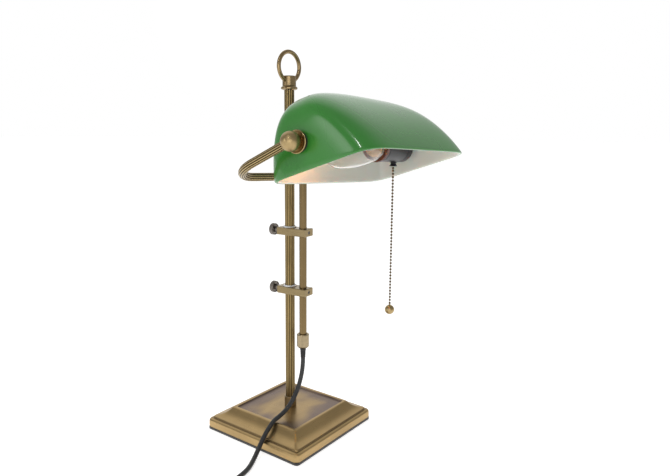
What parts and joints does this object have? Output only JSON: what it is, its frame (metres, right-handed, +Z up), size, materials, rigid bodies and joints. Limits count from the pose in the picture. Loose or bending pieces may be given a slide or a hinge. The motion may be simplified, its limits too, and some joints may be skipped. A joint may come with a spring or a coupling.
{
  "type": "banker desk lamp",
  "caption": "Desk lamp with a square weighted base, fluted pole, height clamps, U-shaped yoke, tilting cased-glass shade, pull chain and mains cord.",
  "frame": {"origin": "centre of the base's underside, on the axis of the main pole", "axes": "+Z up along the main pole; +X along the shade towards the end that holds the socket; -Y towards the reader, the side that the shade stands out on"},
  "size_m": [0.3999, 0.289, 0.5127],
  "materials": {
    "antique_brass": "aged brushed brass with darker edges",
    "dark_bronze": "dark patinated bronze",
    "soft_brass": "satin pale brass",
    "steel": "plain zinc-plated steel",
    "cast_iron": "rough cast ballast",
    "black_plastic": "moulded phenolic, semi-gloss",
    "brown_plastic": "moulded phenolic, brown",
    "nylon": "natural white nylon",
    "rubber": "soft black rubber",
    "cord_jacket": "matt black flexible jacket",
    "felt": "black felt",
    "porcelain": "glazed white insulator",
    "green_glass": "glossy green over an opal white inside",
    "clear_glass": "clear blown glass"
  },
  "bodies": {
    "base": {"base_shell": "antique_brass", "base_weight": "cast_iron", "base_pad": "felt", "pole_stud": "steel", "pole_washer": "steel", "pole_nut": "steel", "main_pole": "antique_brass", "pole_collar": "soft_brass", "finial_flange": "dark_bronze", "finial_stud": "steel", "finial_ring": "dark_bronze", "cord": "cord_jacket", "cord_tail": "cord_jacket", "cord_coil": "cord_jacket", "plug_body": "black_plastic", "plug_left_pin": "steel", "plug_right_pin": "steel"},
    "carriage": {"upper_clamp": "antique_brass", "lower_clamp": "antique_brass", "upper_bushing": "nylon", "lower_bushing": "nylon", "upper_set_screw": "steel", "lower_set_screw": "steel"},
    "upper_thumbscrew": {"upper_thumbscrew": "dark_bronze"},
    "lower_thumbscrew": {"lower_thumbscrew": "dark_bronze"},
    "head": {"slide_tube": "antique_brass", "cord_gland": "soft_brass", "cord_grip": "rubber", "yoke_hub": "antique_brass", "yoke_tube": "antique_brass", "left_ball": "antique_brass", "right_ball": "antique_brass", "left_nipple": "steel", "right_nipple": "steel", "left_cup": "antique_brass", "right_cup": "antique_brass", "left_lock_nut": "steel", "right_lock_nut": "steel", "socket_cap": "black_plastic", "socket_body": "black_plastic", "socket_ring": "brown_plastic", "socket_insert": "porcelain", "screw_shell": "soft_brass", "bulb_glass": "clear_glass", "bulb_cap": "soft_brass", "bulb_mount": "clear_glass", "bell_mouth": "black_plastic"},
    "shade": {"shade_glass": "green_glass", "left_gasket": "rubber", "right_gasket": "rubber", "left_washer": "steel", "right_washer": "steel"},
    "pull_link": {"pull_link": "soft_brass"},
    "pull_bead": {"pull_bead": "soft_brass"},
    "pull_chain": {"pull_chain": "soft_brass", "pull_ball": "antique_brass"}
  },
  "joints": [
    {"name": "height_slide", "type": "slide", "parent": "base", "child": "carriage", "axis": [0, 0, 1], "range_m": [-0.05, 0.17], "deforming": ["cord"]},
    {"name": "upper_thumbscrew_turn", "type": "hinge", "parent": "carriage", "child": "upper_thumbscrew", "pos_m": [0, 0, 0.278], "axis": [-0.0819, 0.9966, 0], "range_deg": [-180, 0]},
    {"name": "lower_thumbscrew_turn", "type": "hinge", "parent": "carriage", "child": "lower_thumbscrew", "pos_m": [0, 0, 0.197], "axis": [-0.0819, 0.9966, 0], "range_deg": [-180, 0]},
    {"name": "head_swing", "type": "hinge", "parent": "carriage", "child": "head", "pos_m": [0.00178, -0.02163, 0.278], "axis": [0, 0, 1], "range_deg": [-45, 45]},
    {"name": "shade_tilt", "type": "hinge", "parent": "head", "child": "shade", "pos_m": [0.00171, -0.11194, 0.39342], "axis": [0.9987, 0.0174, -0.0471], "range_deg": [-25, 45]},
    {"name": "switch_pull", "type": "slide", "parent": "head", "child": "pull_link", "axis": [-0.0471, -0.0008, -0.9989], "range_m": [0, 0.008], "stiffness_N_per_m": 300, "springref_m": -0.004},
    {"name": "chain_swing_forward", "type": "hinge", "parent": "pull_link", "child": "pull_bead", "pos_m": [0.08036, -0.11057, 0.36519], "axis": [1, 0, 0], "range_deg": [-20, 20]},
    {"name": "chain_swing_sideways", "type": "hinge", "parent": "pull_bead", "child": "pull_chain", "pos_m": [0.08036, -0.11057, 0.36329], "axis": [0, 1, 0], "range_deg": [-20, 20]}
  ]
}
